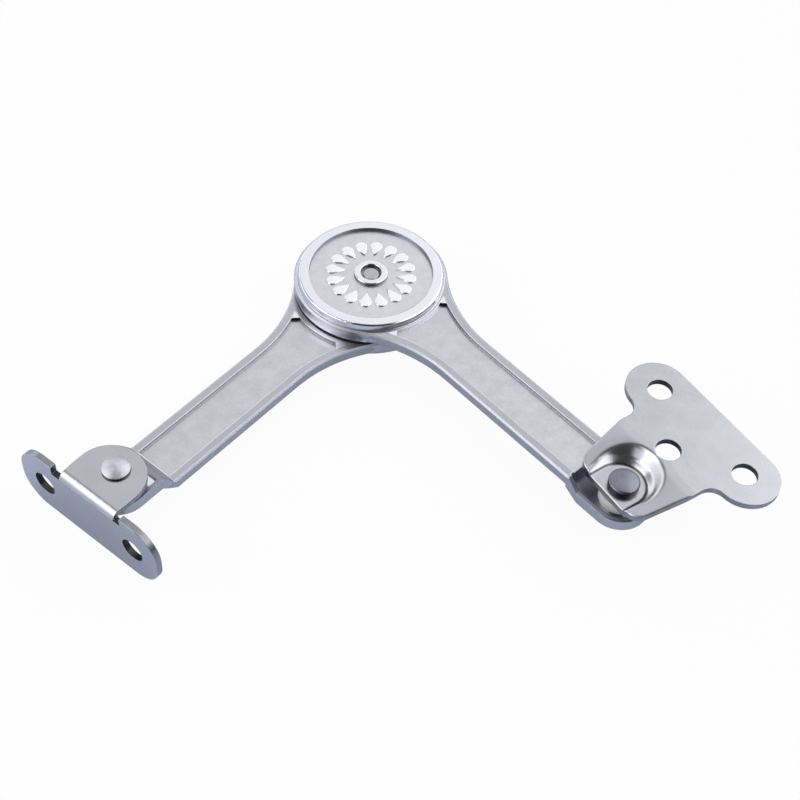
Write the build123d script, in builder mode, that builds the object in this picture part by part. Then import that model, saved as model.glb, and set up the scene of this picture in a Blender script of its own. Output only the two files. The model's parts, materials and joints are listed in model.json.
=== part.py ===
from build123d import *
import math
import os

# Lid support with a friction hub: two arms, a side plate and a lid bracket.
# Millimetres, hinge axes along Z. The origin is the middle of the side plate's
# two outer screw holes, on the face that lies against the cabinet side.

# Rest pose, degrees from +X
UPPER_ARM_ANGLE = 97.7
LOWER_ARM_ANGLE = 195.6
BRACKET_ANGLE = 196.8

# Arms and hub, plan sizes
PIVOT_SPAN = 71.0
BAR_HALF = 6.0
RIB = 1.85
BLEND = 30.0
DRUM_R = 16.0
RIM_R = DRUM_R - 1.0
PAD_HALF = 5.9
BAR_END = PIVOT_SPAN - 8.6
JOGGLE_RUN = 2.8
PAD_LEAD = 3.0
JOGGLE_TOP_LAG = 0.3
JOGGLE_UNDER_LEAD = 0.6
JOGGLE_UNDER_LAG = 0.4
SIDE_DRAFT = 8.0
RIB_BEVEL = 0.35
RIM_ROUND = 0.5
TRAY_RIM = 0.9
TRAY_DEPTH = 0.5

# Levels, from the side plate's face downwards
HUB_TOP = -3.4
UPPER_TOP = -4.7
ARM_DEPTH = 2.8
ARM_GAP = 0.4
PANEL_DEPTH = 0.7
PAD_DEPTH = 2.5
UPPER_PAD_TOP = -7.3
LOWER_PAD_TOP = -4.6
DRUM_RISE = UPPER_TOP - HUB_TOP
UPPER_BOTTOM = UPPER_TOP - ARM_DEPTH
LOWER_TOP = UPPER_BOTTOM - ARM_GAP
LOWER_BOTTOM = LOWER_TOP - ARM_DEPTH
HUB_BOTTOM = LOWER_BOTTOM - 1.6

# Sheet parts
SHEET = 1.3
SCREW_HOLE_R = 2.5
RUN_FIT = 0.05
FACE_GAP = 0.05
DROP_FIT = 0.1
CUT_PAST = 2.0
NEAR = 0.02

# Side plate
SIDE_HOLE_HALF = 12.0
MID_HOLE = 8.3
SIDE_RIVET = 18.5
LOBE_R = 6.2
LOBE_HALF = 12.8
STEM_END = 22.4
STEM_HALF = 7.8
STEM_FAR_HALF = 8.8
STEM_SHOULDER = 11.5
STEM_SHOULDER_HALF = 10.4
NECK_BLEND = 3.2
STEM_CORNER = 3.0
BEND_START = 10.5
BEND_R = 8.0
STEM_SLOPE = 14.5
POCKET_R = 4.8
POCKET_SHIFT = (-0.5, 0.3)
POCKET_FLOOR = -3.6
POCKET_DRAFT = 40.0
POCKET_BLEND = 1.6
POCKET_SHELL_TOP = -0.3
STEM_SPARE = 0.2

# Rivets
RIVET_R = 2.0
SIDE_HEAD_R = 3.0
SIDE_HEAD_H = 1.4
SIDE_HEAD_ROUND = 0.35
DOME_R = 2.7
DOME_H = 1.4
DOME_EDGE = 0.45
TAIL_R = 3.0
TAIL_H = 0.8
TAIL_ROUND = 0.4
TAIL_WASHER = 0.45
TAIL_WASHER_R = 3.8
SPACER_R = 4.2

# Lid bracket
EAR_TOP = -0.9
EAR_HALF = 7.0
EAR_CENTRE = 2.0
FACE_OFFSET = 7.9
BRACKET_BEND = 2.0
LID_HOLE_HALF = 11.3
LID_HALF = 17.4
LID_HEIGHT = 14.0
LID_CORNER = 5.9
LID_HOLE_Z = -7.3
NOTCH_IN = 6.9
NOTCH_OUT = 8.7
NOTCH_FLOOR = -2.2
NOTCH_LEAD = 1.2
NOTCH_END = 0.4

# Friction hub
ROSETTE_R = RIM_R - 2.1
ROSETTE_STEP = 0.7
ROSETTE_T = 0.8
CAVITY_R = DRUM_R - 4.5
PETALS = 16
PETAL_IN = 5.6
PETAL_OUT = 8.35
PETAL_TIP_R = 1.1
PETAL_H = 0.25
COLLAR_R = 3.5
COLLAR_HOLE_R = 2.15
COLLAR_ROUND = 0.25
SPIGOT_R = 1.75
SPIGOT_BELOW_RIM = 0.5
SPIGOT_ROUND = 0.3
PIVOT_R = 3.0
PIVOT_FLAT = 2.5
PIVOT_HEAD_R = 5.5
PEEN_R = PIVOT_R + 0.8
PEEN_H = 0.3
PEEN_ROUND = 0.15
BUSH_R = 3.8
PIN_R = 1.0
PIN_ORBIT = CAVITY_R - 1.7
LINING_IN = 4.2
LINING_OUT = PIN_ORBIT - PIN_R - 0.8
LINING_T = 0.5
WEB = 1.05
LINING_SINK = 0.35
FRICTION_SINK = 0.45
PRESSURE_T = 0.5
SPRING_ROOM = 0.5
SPRING_T = 0.15
SPRING_R = LINING_OUT - 1.5
RETAINER_R = PIVOT_R + 2.2
RETAINER_T = 0.3
PIN_POINT = 0.15
SLOT_HALF = 1.2
SEAT_GAP = 1.2
GLIDE_OUT = DRUM_R - 0.9
GLIDE_IN = CAVITY_R + 0.4
COVER_T = 0.6
COVER_R = RIM_R - 2.1
COVER_GROOVE_OUT = COVER_R - 1.6
COVER_GROOVE_IN = COVER_R - 2.4
COVER_GROOVE_DEPTH = 0.2
FOLD_ANGLE = 52.0
OPEN_ANGLE = 83.0

side_rivet_xy = (-SIDE_RIVET, 0.0)
upper_dir = math.radians(UPPER_ARM_ANGLE)
lower_dir = math.radians(LOWER_ARM_ANGLE)
hub_xy = (
    side_rivet_xy[0] + PIVOT_SPAN * math.cos(upper_dir),
    side_rivet_xy[1] + PIVOT_SPAN * math.sin(upper_dir),
)
lid_rivet_xy = (
    hub_xy[0] + PIVOT_SPAN * math.cos(lower_dir),
    hub_xy[1] + PIVOT_SPAN * math.sin(lower_dir),
)


def flat_frame(xy, degrees):
    turn = math.radians(degrees)
    return Plane(
        origin=(xy[0], xy[1], 0), x_dir=(math.cos(turn), math.sin(turn), 0), z_dir=(0, 0, 1)
    )


# Each arm is drawn along its own X, hub axis at the origin
upper = flat_frame(hub_xy, UPPER_ARM_ANGLE + 180)
lower = flat_frame(hub_xy, LOWER_ARM_ANGLE)
hub = flat_frame(hub_xy, 0)
side_pivot = flat_frame(side_rivet_xy, 0)
lid_pivot = flat_frame(lid_rivet_xy, BRACKET_ANGLE - 90)


def flare(edge_half, hub_r, blend):
    """Start, middle and end of the concave curve from a round hub to a straight edge."""
    reach = DRUM_R + BLEND
    foot = math.sqrt(reach**2 - (BAR_HALF + BLEND) ** 2)
    rise = BAR_HALF + BLEND
    on_hub = (hub_r / reach * foot, hub_r / reach * rise)
    start = math.atan2(on_hub[1] - rise, on_hub[0] - foot)
    middle = (start - math.pi / 2) / 2
    on_curve = (foot + blend * math.cos(middle), rise + blend * math.sin(middle))
    return on_hub, on_curve, (foot, edge_half)


def arm_plan(plane):
    """Plan of an arm: round hub, concave flares, straight bar, round pad."""
    on_hub, on_flare, (foot, _) = flare(BAR_HALF, DRUM_R, BLEND)
    pad_start = BAR_END + PAD_LEAD
    with BuildSketch(plane) as plan:
        with BuildLine():
            ThreePointArc(on_hub, (-DRUM_R, 0), (on_hub[0], -on_hub[1]))
            ThreePointArc(
                (on_hub[0], -on_hub[1]), (on_flare[0], -on_flare[1]), (foot, -BAR_HALF)
            )
            Polyline(
                (foot, -BAR_HALF),
                (BAR_END, -BAR_HALF),
                (pad_start, -PAD_HALF),
                (PIVOT_SPAN, -PAD_HALF),
            )
            ThreePointArc(
                (PIVOT_SPAN, -PAD_HALF), (PIVOT_SPAN + PAD_HALF, 0), (PIVOT_SPAN, PAD_HALF)
            )
            Polyline(
                (PIVOT_SPAN, PAD_HALF),
                (pad_start, PAD_HALF),
                (BAR_END, BAR_HALF),
                (foot, BAR_HALF),
            )
            ThreePointArc((foot, BAR_HALF), on_flare, on_hub)
        make_face()
    return plan


def side_profile(plane, bar_top, bar_bottom, pad_top, pad_bottom):
    """Side view of an arm, along its X: level bar, a short joggle, level pad."""
    side = Plane(origin=plane.origin, x_dir=plane.x_dir, z_dir=-plane.y_dir)
    with BuildSketch(side) as profile:
        with BuildLine():
            Polyline(
                (-DRUM_R - CUT_PAST, bar_bottom),
                (BAR_END - JOGGLE_UNDER_LEAD, bar_bottom),
                (BAR_END + JOGGLE_RUN + JOGGLE_UNDER_LAG, pad_bottom),
                (PIVOT_SPAN + DRUM_R, pad_bottom),
                (PIVOT_SPAN + DRUM_R, pad_top),
                (BAR_END + JOGGLE_RUN, pad_top),
                (BAR_END + JOGGLE_TOP_LAG, bar_top),
                (-DRUM_R - CUT_PAST, bar_top),
                close=True,
            )
        make_face()
    return profile


def arm_blank(plane, top, bottom, pad_top, pad_bottom):
    """Solid arm before the panel and hub are cut: drafted sides, bevelled ribs, joggle."""
    bevel_z = top - RIB_BEVEL
    with BuildPart() as blank:
        plan = arm_plan(plane.offset(bevel_z)).sketch
        extrude(plan, amount=min(bottom, pad_bottom) - bevel_z, taper=SIDE_DRAFT)
        extrude(plan, amount=RIB_BEVEL, taper=45)
        pad_high = max(pad_top, bevel_z)
        with BuildSketch(plane.offset(pad_high)):
            with Locations((PIVOT_SPAN, 0)):
                Circle(PAD_HALF)
            with Locations((BAR_END, 0)):
                Rectangle(
                    PIVOT_SPAN - BAR_END, 2 * PAD_HALF, align=(Align.MIN, Align.CENTER)
                )
        extrude(amount=min(pad_bottom, bevel_z) - pad_high)
        side = side_profile(plane, top, bottom, pad_top, pad_bottom).sketch
        extrude(side, amount=DRUM_R + CUT_PAST, both=True, mode=Mode.INTERSECT)
    return blank


def panel_plan(plane, hub_edge):
    """The sunk panel between the ribs, from the hub edge to the bar's end."""
    with BuildSketch(plane) as panel:
        with BuildLine():
            half = BAR_HALF - RIB
            on_hub, on_flare, (foot, _) = flare(half, DRUM_R - RIB, BLEND + RIB)
            Line((on_hub[0], on_hub[1]), (on_hub[0], -on_hub[1]))
            ThreePointArc((on_hub[0], -on_hub[1]), (on_flare[0], -on_flare[1]), (foot, -half))
            Polyline((foot, -half), (BAR_END, -half), (BAR_END, half), (foot, half))
            ThreePointArc((foot, half), on_flare, on_hub)
        make_face()
        Circle(hub_edge, mode=Mode.SUBTRACT)
    return panel


def pad_tray(plane, floor, start):
    """The shallow tray in a pad, round the boss that carries the spacer."""
    with BuildSketch(plane.offset(floor)) as tray:
        with Locations((PIVOT_SPAN, 0)):
            Circle(PAD_HALF - TRAY_RIM)
        with Locations((start, 0)):
            Rectangle(
                PIVOT_SPAN - start, 2 * (PAD_HALF - TRAY_RIM), align=(Align.MIN, Align.CENTER)
            )
        with Locations((PIVOT_SPAN, 0)):
            Circle(SPACER_R, mode=Mode.SUBTRACT)
    return tray


# Upper arm: bar with ribs and panel, drum with rim, stepped-down pad
upper_web_top = UPPER_BOTTOM + LINING_SINK + WEB
upper_pad_bottom = UPPER_PAD_TOP - PAD_DEPTH
lower_pad_bottom = LOWER_PAD_TOP - PAD_DEPTH
with BuildPart() as upper_arm:
    add(arm_blank(upper, UPPER_TOP, UPPER_BOTTOM, UPPER_PAD_TOP, upper_pad_bottom).part)
    with BuildSketch(hub.offset(UPPER_BOTTOM)):
        Circle(DRUM_R)
    drum_draft = math.degrees(math.atan2(DRUM_R - RIM_R, HUB_TOP - UPPER_BOTTOM))
    extrude(amount=HUB_TOP - UPPER_BOTTOM, taper=drum_draft)
    fillet(upper_arm.edges().group_by(Axis.Z)[-1], RIM_ROUND)
    upper_panel = panel_plan(upper.offset(UPPER_TOP - PANEL_DEPTH), DRUM_R - DROP_FIT)
    extrude(upper_panel.sketch, amount=PANEL_DEPTH + CUT_PAST, mode=Mode.SUBTRACT)
    # the tray runs up through the joggle, so it is cut as high as the ribs
    upper_tray = pad_tray(upper, UPPER_PAD_TOP - TRAY_DEPTH, BAR_END)
    extrude(upper_tray.sketch, amount=UPPER_TOP - UPPER_PAD_TOP + CUT_PAST, mode=Mode.SUBTRACT)
    # rosette seat, cavity, web and lining recess
    with BuildSketch(hub.offset(HUB_TOP)):
        Circle(ROSETTE_R)
    extrude(amount=-ROSETTE_STEP - ROSETTE_T, mode=Mode.SUBTRACT)
    with BuildSketch(hub.offset(HUB_TOP)):
        Circle(CAVITY_R)
    extrude(amount=upper_web_top - HUB_TOP, mode=Mode.SUBTRACT)
    with BuildSketch(hub.offset(UPPER_BOTTOM)):
        Circle(LINING_OUT + DROP_FIT)
    extrude(amount=LINING_SINK, mode=Mode.SUBTRACT)
    with BuildSketch(hub.offset(UPPER_BOTTOM)):
        Circle(PIVOT_R)
    extrude(amount=ARM_DEPTH, mode=Mode.SUBTRACT)
    with BuildSketch(upper.offset(UPPER_BOTTOM)):
        with Locations((PIN_ORBIT, 0)):
            Circle(PIN_R)
    extrude(amount=WEB + LINING_SINK, mode=Mode.SUBTRACT)
    with BuildSketch(upper.offset(UPPER_TOP)):
        with Locations((PIVOT_SPAN, 0)):
            Circle(RIVET_R + RUN_FIT)
    extrude(amount=upper_pad_bottom - UPPER_TOP - CUT_PAST, mode=Mode.SUBTRACT)
upper_arm.part.label = "upper_arm"

# Lower arm: the same bar with a seat for the drum, a stepped-up pad and a drum below
lower_web_top = LOWER_TOP - FRICTION_SINK
lower_web_bottom = lower_web_top - WEB
cover_seat = HUB_BOTTOM + COVER_T
with BuildPart() as lower_arm:
    add(arm_blank(lower, LOWER_TOP, LOWER_BOTTOM, LOWER_PAD_TOP, lower_pad_bottom).part)
    with BuildSketch(hub.offset(LOWER_TOP)):
        Circle(DRUM_R)
    extrude(amount=HUB_BOTTOM - LOWER_TOP, taper=drum_draft)
    fillet(lower_arm.edges().group_by(Axis.Z)[0], RIM_ROUND)
    lower_panel = panel_plan(lower.offset(LOWER_TOP - PANEL_DEPTH), DRUM_R + SEAT_GAP)
    extrude(lower_panel.sketch, amount=PANEL_DEPTH + CUT_PAST, mode=Mode.SUBTRACT)
    lower_tray = pad_tray(lower, LOWER_PAD_TOP - TRAY_DEPTH, BAR_END + JOGGLE_RUN + TRAY_RIM)
    extrude(lower_tray.sketch, amount=TRAY_DEPTH + CUT_PAST, mode=Mode.SUBTRACT)
    with BuildSketch(hub.offset(LOWER_TOP)):
        Circle(LINING_OUT + DROP_FIT)
    extrude(amount=lower_web_top - LOWER_TOP, mode=Mode.SUBTRACT)
    with BuildSketch(hub.offset(HUB_BOTTOM)):
        Circle(COVER_R)
    extrude(amount=COVER_T, mode=Mode.SUBTRACT)
    with BuildSketch(hub.offset(HUB_BOTTOM)):
        Circle(CAVITY_R)
    extrude(amount=lower_web_bottom - HUB_BOTTOM, mode=Mode.SUBTRACT)
    with BuildSketch(hub.offset(LOWER_TOP)):
        Circle(BUSH_R)
    extrude(amount=-ARM_DEPTH, mode=Mode.SUBTRACT)
    with BuildSketch(lower.offset(LOWER_PAD_TOP)):
        with Locations((PIVOT_SPAN, 0)):
            Circle(RIVET_R + RUN_FIT)
    extrude(amount=-PAD_DEPTH - CUT_PAST, mode=Mode.SUBTRACT)
    # curved slot that the stop pin runs in
    with BuildLine(mode=Mode.PRIVATE) as pin_path:
        CenterArc((0, 0), PIN_ORBIT, -FOLD_ANGLE, FOLD_ANGLE + OPEN_ANGLE)
    with BuildSketch(upper.offset(LOWER_TOP)):
        SlotArc(pin_path.wires()[0], 2 * SLOT_HALF)
    extrude(amount=-ARM_DEPTH, mode=Mode.SUBTRACT)
lower_arm.part.label = "lower_arm"


# One teardrop petal, point inwards, along X from the hub axis
petal_reach = PETAL_OUT - PETAL_IN
petal_lean = math.acos(PETAL_TIP_R / petal_reach)
petal_touch = (
    PETAL_OUT - PETAL_TIP_R * math.cos(petal_lean),
    PETAL_TIP_R * math.sin(petal_lean),
)
with BuildSketch(Plane.XY) as petal:
    with BuildLine():
        Line((PETAL_IN, 0), petal_touch)
        ThreePointArc(petal_touch, (PETAL_OUT + PETAL_TIP_R, 0), (petal_touch[0], -petal_touch[1]))
        Line((petal_touch[0], -petal_touch[1]), (PETAL_IN, 0))
    make_face()


# Rosette disc: the sunk disc in the drum with sixteen raised petals
rosette_top = HUB_TOP - ROSETTE_STEP
with BuildPart() as rosette_disc:
    with BuildSketch(hub.offset(rosette_top)):
        Circle(ROSETTE_R)
        Circle(COLLAR_HOLE_R, mode=Mode.SUBTRACT)
    extrude(amount=-ROSETTE_T)
    with BuildSketch(hub.offset(rosette_top)):
        with PolarLocations(0, PETALS, start_angle=360 / PETALS / 2):
            add(petal.sketch)
    extrude(amount=PETAL_H)
rosette_disc.part.label = "rosette_disc"

# Centre collar: polished ring round the pivot's end
with BuildPart() as centre_collar:
    with BuildSketch(hub.offset(rosette_top)):
        Circle(COLLAR_R)
        Circle(COLLAR_HOLE_R, mode=Mode.SUBTRACT)
    extrude(amount=ROSETTE_STEP)
    fillet(centre_collar.edges().group_by(Axis.Z)[-1], COLLAR_ROUND)
centre_collar.part.label = "centre_collar"

# Friction pack levels, top to bottom
upper_lining_top = UPPER_BOTTOM + LINING_SINK
upper_lining_bottom = upper_lining_top - LINING_T
friction_top = upper_lining_bottom - FACE_GAP
lower_lining_bottom = lower_web_bottom - LINING_T
pressure_top = lower_lining_bottom - FACE_GAP
pressure_bottom = pressure_top - PRESSURE_T
retainer_top = pressure_bottom - SPRING_ROOM
retainer_bottom = retainer_top - RETAINER_T

# Section of the pivot's lower shank: round with two flats
with BuildSketch(Plane.XY) as pivot_section:
    Circle(PIVOT_R)
    Rectangle(2 * PIVOT_R, 2 * PIVOT_FLAT, mode=Mode.INTERSECT)

# Pivot pin: spigot, head on the upper web, shank with flats, peened end
with BuildPart() as pivot_pin:
    with BuildSketch(hub.offset(upper_web_top)):
        Circle(PIVOT_HEAD_R)
    extrude(amount=rosette_top - ROSETTE_T - upper_web_top)
    with BuildSketch(hub.offset(upper_web_top)):
        Circle(SPIGOT_R)
    extrude(amount=HUB_TOP - SPIGOT_BELOW_RIM - upper_web_top)
    fillet(pivot_pin.edges().group_by(Axis.Z)[-1], SPIGOT_ROUND)
    with BuildSketch(hub.offset(upper_web_top)):
        Circle(PIVOT_R)
    extrude(amount=pressure_top - upper_web_top)
    with BuildSketch(upper.offset(pressure_top)):
        add(pivot_section.sketch)
    extrude(amount=retainer_bottom - pressure_top)
    with BuildSketch(hub.offset(retainer_bottom)):
        Circle(PEEN_R)
    extrude(amount=-PEEN_H)
    fillet(pivot_pin.edges().group_by(Axis.Z)[0], PEEN_ROUND)
pivot_pin.part.label = "pivot_pin"


def ring(name, plane, top, bottom, outer, inner):
    with BuildPart() as piece:
        with BuildSketch(plane.offset(top)):
            Circle(outer)
            Circle(inner, mode=Mode.SUBTRACT)
        extrude(amount=bottom - top)
    piece.part.label = name
    return piece


upper_lining = ring(
    "upper_lining", hub, upper_lining_top, upper_lining_bottom, LINING_OUT, LINING_IN
)
friction_disc = ring("friction_disc", hub, friction_top, lower_web_top, LINING_OUT, LINING_IN)
lower_lining = ring(
    "lower_lining", hub, lower_web_bottom, lower_lining_bottom, LINING_OUT, LINING_IN
)
glide_ring = ring(
    "glide_ring", hub, LOWER_TOP + ARM_GAP - FACE_GAP, LOWER_TOP, GLIDE_OUT, GLIDE_IN
)
pivot_bush = ring(
    "pivot_bush", hub, lower_web_top, lower_web_bottom, BUSH_R, PIVOT_R + RUN_FIT
)

# Pressure plate and retaining washer share the pivot's flats
with BuildPart() as pressure_plate:
    with BuildSketch(upper.offset(pressure_top)):
        Circle(LINING_OUT)
        add(pivot_section.sketch, mode=Mode.SUBTRACT)
    extrude(amount=pressure_bottom - pressure_top)
pressure_plate.part.label = "pressure_plate"

with BuildPart() as retaining_washer:
    with BuildSketch(upper.offset(retainer_top)):
        Circle(RETAINER_R)
        add(pivot_section.sketch, mode=Mode.SUBTRACT)
    extrude(amount=retainer_bottom - retainer_top)
retaining_washer.part.label = "retaining_washer"

# Disc springs: two conical washers, rims together
spring_in = PIVOT_R + 2 * DROP_FIT
spring_cone = SPRING_ROOM / 2 - SPRING_T - FACE_GAP / 5
section = Plane(origin=hub.origin, x_dir=(1, 0, 0), z_dir=(0, -1, 0))
spring_axis = Axis((hub_xy[0], hub_xy[1], 0), (0, 0, 1))
with BuildPart() as disc_springs:
    with BuildSketch(section):
        for top, sign in ((pressure_bottom, -1), (retainer_top, 1)):
            with BuildLine():
                Polyline(
                    (spring_in, top),
                    (SPRING_R, top + sign * spring_cone),
                    (SPRING_R, top + sign * (spring_cone + SPRING_T)),
                    (spring_in, top + sign * SPRING_T),
                    close=True,
                )
            make_face()
    revolve(axis=spring_axis)
disc_springs.part.label = "disc_springs"

# Stop pin, pressed into the upper web
with BuildPart() as stop_pin:
    with BuildSketch(upper.offset(upper_web_top)):
        with Locations((PIN_ORBIT, 0)):
            Circle(PIN_R)
    extrude(amount=lower_web_bottom + 2 * DROP_FIT - upper_web_top)
    chamfer(stop_pin.edges().group_by(Axis.Z)[0], PIN_POINT)
stop_pin.part.label = "stop_pin"

# Bottom cover, pressed into the lower drum
with BuildPart() as bottom_cover:
    with BuildSketch(hub.offset(HUB_BOTTOM)):
        Circle(COVER_R)
    extrude(amount=COVER_T)
    with BuildSketch(hub.offset(HUB_BOTTOM)):
        Circle(COVER_GROOVE_OUT)
        Circle(COVER_GROOVE_IN, mode=Mode.SUBTRACT)
    extrude(amount=COVER_GROOVE_DEPTH, mode=Mode.SUBTRACT)
bottom_cover.part.label = "bottom_cover"


# Concave neck between each lobe and the stem
neck_y = STEM_SHOULDER_HALF + NECK_BLEND
neck_x = -math.sqrt((LOBE_R + NECK_BLEND) ** 2 - (neck_y - LOBE_HALF) ** 2)
neck_share = LOBE_R / (LOBE_R + NECK_BLEND)
neck_touch = (neck_x * neck_share, LOBE_HALF + (neck_y - LOBE_HALF) * neck_share)
lobe_end = math.atan2(neck_touch[1] - LOBE_HALF, neck_touch[0]) % (2 * math.pi)
lobe_turn = (lobe_end + math.pi) / 2
lobe_middle = (LOBE_R * math.cos(lobe_turn), LOBE_HALF + LOBE_R * math.sin(lobe_turn))
neck_turn = (math.atan2(neck_touch[1] - neck_y, neck_touch[0] - neck_x) - math.pi / 2) / 2
neck_middle = (
    neck_x + NECK_BLEND * math.cos(neck_turn),
    neck_y + NECK_BLEND * math.sin(neck_turn),
)


def half_plan(end_half):
    """One half of the side plate's plan, from the middle line to the lobe."""
    with BuildSketch(Plane.XY) as half:
        with BuildLine():
            ThreePointArc((LOBE_R, LOBE_HALF), (0, LOBE_HALF + LOBE_R), (-LOBE_R, LOBE_HALF))
            ThreePointArc((-LOBE_R, LOBE_HALF), lobe_middle, neck_touch)
            ThreePointArc(neck_touch, neck_middle, (neck_x, STEM_SHOULDER_HALF))
            Polyline(
                (neck_x, STEM_SHOULDER_HALF),
                (-STEM_SHOULDER, STEM_SHOULDER_HALF),
                (-STEM_END, end_half),
                (-STEM_END, 0),
            )
            Polyline((-STEM_END, 0), (LOBE_R, 0), (LOBE_R, LOBE_HALF))
        make_face()
    return half


# Plan of the side plate: two lobes, concave necks, a stem with round corners
with BuildSketch(Plane.XY) as side_plan:
    add(half_plan(STEM_FAR_HALF).sketch)
    mirror(half_plan(STEM_HALF).sketch, about=Plane.XZ)
    corners = side_plan.vertices().filter_by(lambda v: v.X < -STEM_END + NEAR)
    fillet(corners, STEM_CORNER)
    shoulders = side_plan.vertices().filter_by(lambda v: abs(v.X + STEM_SHOULDER) < NEAR)
    fillet(shoulders, STEM_SHOULDER)

slope = math.radians(STEM_SLOPE)


def stem_line(depth):
    """Top or underside of the plate seen from the side, at a depth below its face."""
    turn_r = BEND_R - depth
    centre = (-BEND_START, -BEND_R)
    first = (-BEND_START, -depth)
    half = slope / 2
    mid = (centre[0] - turn_r * math.sin(half), centre[1] + turn_r * math.cos(half))
    last = (centre[0] - turn_r * math.sin(slope), centre[1] + turn_r * math.cos(slope))
    end = STEM_END + STEM_SPARE
    far = (-end, last[1] - (end + last[0]) * math.tan(slope))
    return first, mid, last, far


def pocket(radius, z):
    """The U of the rivet pocket, open towards the stem's end."""
    with BuildSketch(Plane.XY.offset(z)) as shape:
        with Locations((POCKET_SHIFT[0] - SIDE_RIVET, POCKET_SHIFT[1])):
            Circle(radius)
            Rectangle(STEM_END, 2 * radius, align=(Align.MAX, Align.CENTER))
    return shape


pocket_slope = math.tan(math.radians(POCKET_DRAFT))
shell_r = POCKET_R + SHEET / math.cos(math.radians(POCKET_DRAFT)) - SHEET * pocket_slope

# Underside bulge of the pocket, kept below the sheet's top
with BuildPart() as pocket_shell:
    shell_plan = pocket(shell_r, POCKET_FLOOR - SHEET)
    extrude(shell_plan.sketch, amount=SHEET - POCKET_FLOOR, taper=-POCKET_DRAFT)
    with BuildSketch(Plane.XZ):
        with BuildLine():
            top_first, top_mid, top_last, top_far = stem_line(-POCKET_SHELL_TOP)
            shell_low = POCKET_FLOOR - SHEET - CUT_PAST
            Line((0, top_first[1]), top_first)
            ThreePointArc(top_first, top_mid, top_last)
            Line(top_last, top_far)
            Polyline(top_far, (top_far[0], shell_low), (0, shell_low), (0, top_first[1]))
        make_face()
    extrude(amount=2 * LOBE_HALF, both=True, mode=Mode.INTERSECT)


def on_dish_wall(point):
    """True for a point on the pocket's wall, above its floor."""
    along = point.X + SIDE_RIVET - POCKET_SHIFT[0]
    across = point.Y - POCKET_SHIFT[1]
    out = math.hypot(max(along, 0), across)
    height = point.Z - POCKET_FLOOR
    on_wall = abs(out - POCKET_R - height * pocket_slope) < NEAR
    return height > SHEET / 4 and on_wall


# Side plate: bent strip, dished pocket with a soft rim, cut to plan, three screw holes
with BuildPart() as side_plate:
    with BuildSketch(Plane.XZ):
        with BuildLine():
            t_first, t_mid, t_last, t_far = stem_line(0.0)
            b_first, b_mid, b_last, b_far = stem_line(SHEET)
            Line((LOBE_R + CUT_PAST, 0), t_first)
            ThreePointArc(t_first, t_mid, t_last)
            Line(t_last, t_far)
            Line(t_far, b_far)
            Line(b_far, b_last)
            ThreePointArc(b_last, b_mid, b_first)
            Polyline(b_first, (LOBE_R + CUT_PAST, -SHEET), (LOBE_R + CUT_PAST, 0))
        make_face()
    extrude(amount=2 * LOBE_HALF, both=True)
    add(pocket_shell.part)
    dish = pocket(POCKET_R, POCKET_FLOOR)
    extrude(
        dish.sketch, amount=CUT_PAST - POCKET_FLOOR, taper=-POCKET_DRAFT, mode=Mode.SUBTRACT
    )
    dish_rim = side_plate.edges().filter_by(
        lambda edge: all(on_dish_wall(edge.position_at(share)) for share in (0, 0.5, 1))
    )
    fillet(dish_rim, POCKET_BLEND)
    extrude(side_plan.sketch, amount=STEM_END, both=True, mode=Mode.INTERSECT)
    with BuildSketch(Plane.XY):
        with Locations((0, SIDE_HOLE_HALF), (0, -SIDE_HOLE_HALF), (-MID_HOLE, 0)):
            Circle(SCREW_HOLE_R)
    extrude(amount=-SHEET - CUT_PAST, mode=Mode.SUBTRACT)
    with BuildSketch(side_pivot.offset(POCKET_FLOOR)):
        Circle(RIVET_R)
    extrude(amount=-SHEET, mode=Mode.SUBTRACT)
side_plate.part.label = "side_plate"

# Side plate rivet: flat round head in the pocket, tail under the pad
side_tail = UPPER_PAD_TOP - PAD_DEPTH - FACE_GAP - TAIL_WASHER
with BuildPart() as side_plate_rivet:
    with BuildSketch(side_pivot.offset(POCKET_FLOOR)):
        Circle(SIDE_HEAD_R)
    extrude(amount=SIDE_HEAD_H)
    fillet(side_plate_rivet.edges().group_by(Axis.Z)[-1], SIDE_HEAD_ROUND)
    with BuildSketch(side_pivot.offset(POCKET_FLOOR)):
        Circle(RIVET_R)
    extrude(amount=side_tail - POCKET_FLOOR)
    with BuildSketch(side_pivot.offset(side_tail)):
        Circle(TAIL_R)
    extrude(amount=-TAIL_H)
    fillet(side_plate_rivet.edges().group_by(Axis.Z)[0], TAIL_ROUND)
side_plate_rivet.part.label = "side_plate_rivet"

side_plate_tail_washer = ring(
    "side_plate_tail_washer",
    side_pivot,
    side_tail + TAIL_WASHER,
    side_tail,
    TAIL_WASHER_R,
    RIVET_R,
)
side_plate_spacer = ring(
    "side_plate_spacer",
    side_pivot,
    POCKET_FLOOR - SHEET,
    UPPER_PAD_TOP + FACE_GAP,
    SPACER_R,
    RIVET_R,
)

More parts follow.
